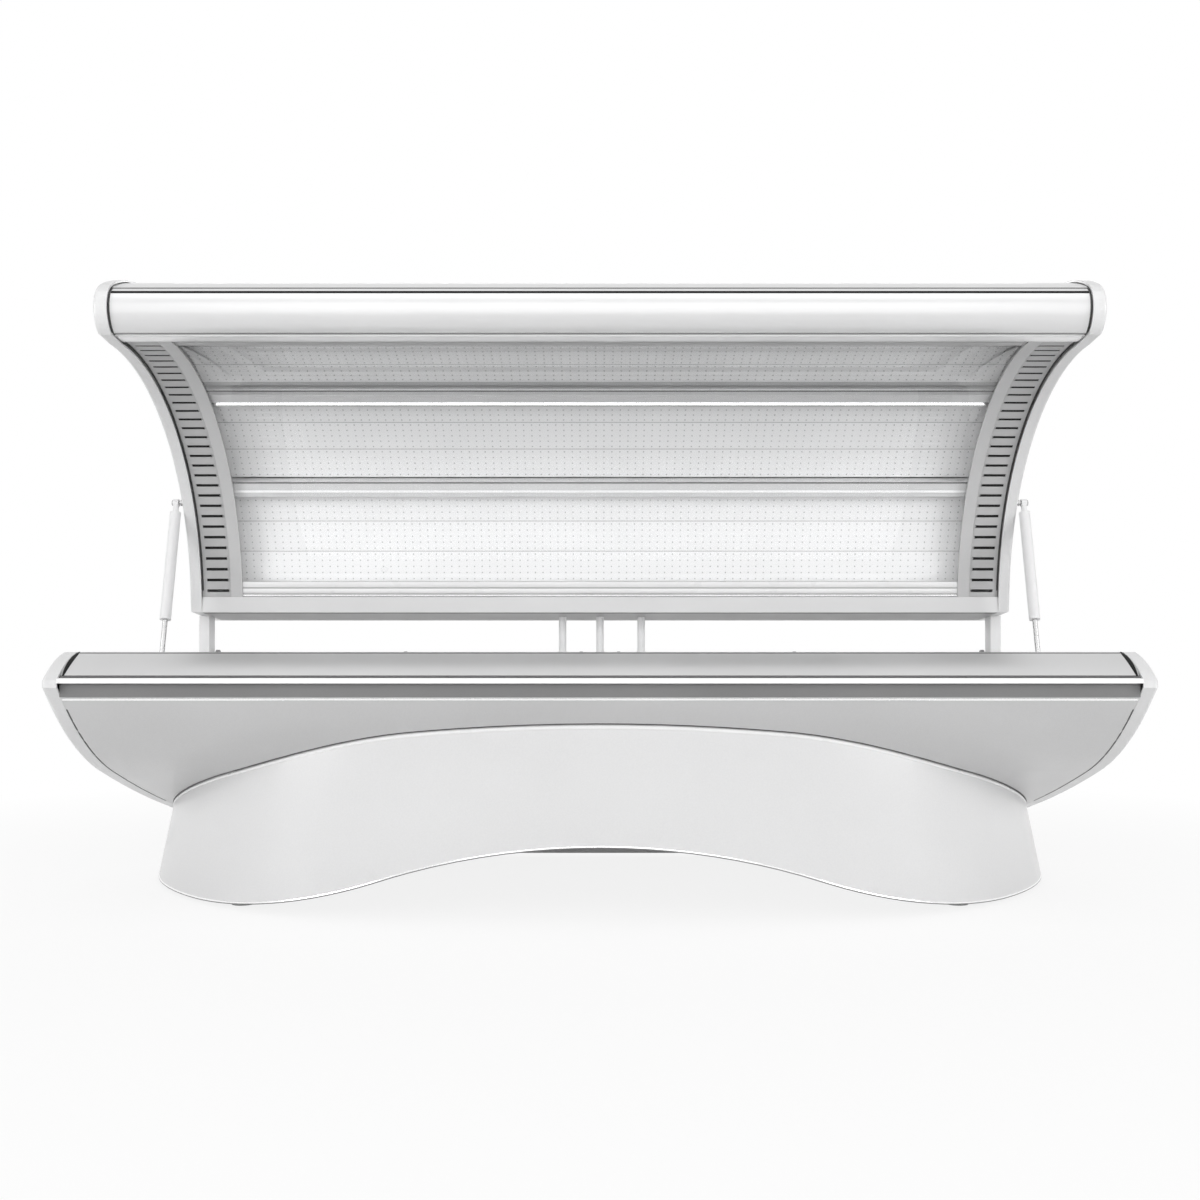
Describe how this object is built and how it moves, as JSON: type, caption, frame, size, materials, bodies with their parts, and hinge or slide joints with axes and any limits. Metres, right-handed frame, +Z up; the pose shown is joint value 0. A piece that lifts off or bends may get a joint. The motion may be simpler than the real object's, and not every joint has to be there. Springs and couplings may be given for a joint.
{
  "type": "red light therapy bed",
  "caption": "Bench with a silver hull on a bowed white plinth, and an arched light canopy on a rear hinge with gas struts that swings down over the user.",
  "frame": {"origin": "middle of the bed's footprint, on the floor", "axes": "+X along the bed to the right as seen from the front, +Y from the front to the hinge side, +Z up"},
  "size_m": [2.193, 1.0592, 1.3631],
  "materials": {
    "silver_hull": "silver lacquer on a formed plastic shell, satin gloss",
    "silver_rail": "extruded aluminium in silver lacquer",
    "bright_trim": "polished trim strip",
    "grey_inlay": "matt grey insert",
    "white_gloss": "white moulded plastic, soft gloss",
    "clear_acrylic": "clear cast acrylic sheet",
    "white_board": "aluminium-core light board with white mask",
    "white_metal": "white powder coat",
    "grey_vent": "grey slotted strip",
    "grey_channel": "grey retaining strip",
    "frame_steel": "grey powder coat on sheet steel",
    "bare_steel": "bright ground steel",
    "foot_rubber": "black rubber-faced foot",
    "black_plastic": "black moulded plastic",
    "driver_case": "folded aluminium case"
  },
  "bodies": {
    "bed": {"hull_shell": "silver_hull", "front_rail": "silver_rail", "front_rail_trim": "bright_trim", "front_rail_inlay": "grey_inlay", "rear_rail": "silver_rail", "bed_end_cap_left": "white_gloss", "bed_end_cap_right": "white_gloss", "bench_acrylic": "clear_acrylic", "bench_led_module_front": "white_board", "bench_led_module_middle": "white_board", "bench_led_module_rear": "white_board", "bench_vent_strip_left": "grey_vent", "bench_vent_strip_right": "grey_vent", "bench_end_panel_left": "white_gloss", "bench_end_panel_right": "white_gloss", "bench_ribs": "frame_steel", "plinth_front_fascia": "white_gloss", "plinth_rear_cover": "white_gloss", "leg_frame_left": "frame_steel", "leg_frame_right": "frame_steel", "levelling_feet": "foot_rubber", "hinge_brackets": "frame_steel", "hinge_rod": "bare_steel", "strut_lower_plates": "frame_steel", "led_drivers": "driver_case", "control_unit": "black_plastic", "power_inlet": "black_plastic", "bed_fan_frames": "black_plastic", "bed_fan_guards": "black_plastic", "start_button_bezel": "black_plastic"},
    "canopy": {"canopy_shell": "white_gloss", "canopy_front_rail": "silver_rail", "canopy_rear_rail": "silver_rail", "canopy_end_cap_left": "white_gloss", "canopy_end_cap_right": "white_gloss", "canopy_vent_strip_left": "grey_vent", "canopy_vent_strip_right": "grey_vent", "canopy_acrylic": "clear_acrylic", "acrylic_channels": "grey_channel", "canopy_led_module_upper": "white_board", "canopy_led_module_middle": "white_board", "canopy_led_module_lower": "white_board", "canopy_led_ridges": "white_metal", "canopy_ribs": "frame_steel", "hinge_arm_left": "white_metal", "hinge_arm_right": "white_metal", "centre_arms": "white_metal", "canopy_fan_frames": "black_plastic", "canopy_fan_guards": "black_plastic", "strut_upper_studs": "bare_steel"},
    "strut_tube_left": {"strut_tube_left": "white_metal"},
    "strut_rod_left": {"strut_rod_left": "bare_steel"},
    "strut_tube_right": {"strut_tube_right": "white_metal"},
    "strut_rod_right": {"strut_rod_right": "bare_steel"},
    "bed_fan_left": {"bed_fan_rotor_left": "black_plastic"},
    "canopy_fan_left": {"canopy_fan_rotor_left": "black_plastic"},
    "bed_fan_right": {"bed_fan_rotor_right": "black_plastic"},
    "canopy_fan_right": {"canopy_fan_rotor_right": "black_plastic"},
    "start_button": {"start_button": "bare_steel"}
  },
  "joints": [
    {"name": "canopy_hinge", "type": "hinge", "parent": "bed", "child": "canopy", "pos_m": [0, 0.4455, 0.53], "axis": [1, 0, 0], "range_deg": [0, 44.5]},
    {"name": "strut_pivot_left", "type": "hinge", "parent": "canopy", "child": "strut_tube_left", "pos_m": [-1.083, 0.29524, 0.91867], "axis": [1, 0, 0], "range_deg": [-21, 0]},
    {"name": "strut_slide_left", "type": "slide", "parent": "strut_tube_left", "child": "strut_rod_left", "axis": [0, 0.268, 0.9634], "range_m": [0, 0.236]},
    {"name": "strut_pivot_right", "type": "hinge", "parent": "canopy", "child": "strut_tube_right", "pos_m": [1.083, 0.29524, 0.91867], "axis": [1, 0, 0], "range_deg": [-21, 0]},
    {"name": "strut_slide_right", "type": "slide", "parent": "strut_tube_right", "child": "strut_rod_right", "axis": [0, 0.268, 0.9634], "range_m": [0, 0.236]},
    {"name": "bed_fan_spin_left", "type": "hinge", "parent": "bed", "child": "bed_fan_left", "pos_m": [-0.45, 0.2955, 0.1625], "axis": [0, 0, 1], "continuous": true},
    {"name": "canopy_fan_spin_left", "type": "hinge", "parent": "canopy", "child": "canopy_fan_left", "pos_m": [-0.45, 0.33409, 1.09595], "axis": [0, 0.7716, 0.6361], "continuous": true},
    {"name": "bed_fan_spin_right", "type": "hinge", "parent": "bed", "child": "bed_fan_right", "pos_m": [0.45, 0.2955, 0.1625], "axis": [0, 0, 1], "continuous": true},
    {"name": "canopy_fan_spin_right", "type": "hinge", "parent": "canopy", "child": "canopy_fan_right", "pos_m": [0.45, 0.33409, 1.09595], "axis": [0, 0.7716, 0.6361], "continuous": true},
    {"name": "start_button_press", "type": "slide", "parent": "bed", "child": "start_button", "axis": [0, -1, 0], "range_m": [0, 0.003], "stiffness_N_per_m": 400, "springref_m": -0.002}
  ],
  "couplings": [
    {"joint": "strut_pivot_left", "follows": "canopy_hinge", "ratio": -0.44082},
    {"joint": "strut_slide_left", "follows": "canopy_hinge", "m_per_rad": 0.30177},
    {"joint": "strut_pivot_right", "follows": "canopy_hinge", "ratio": -0.44082},
    {"joint": "strut_slide_right", "follows": "canopy_hinge", "m_per_rad": 0.30177}
  ]
}
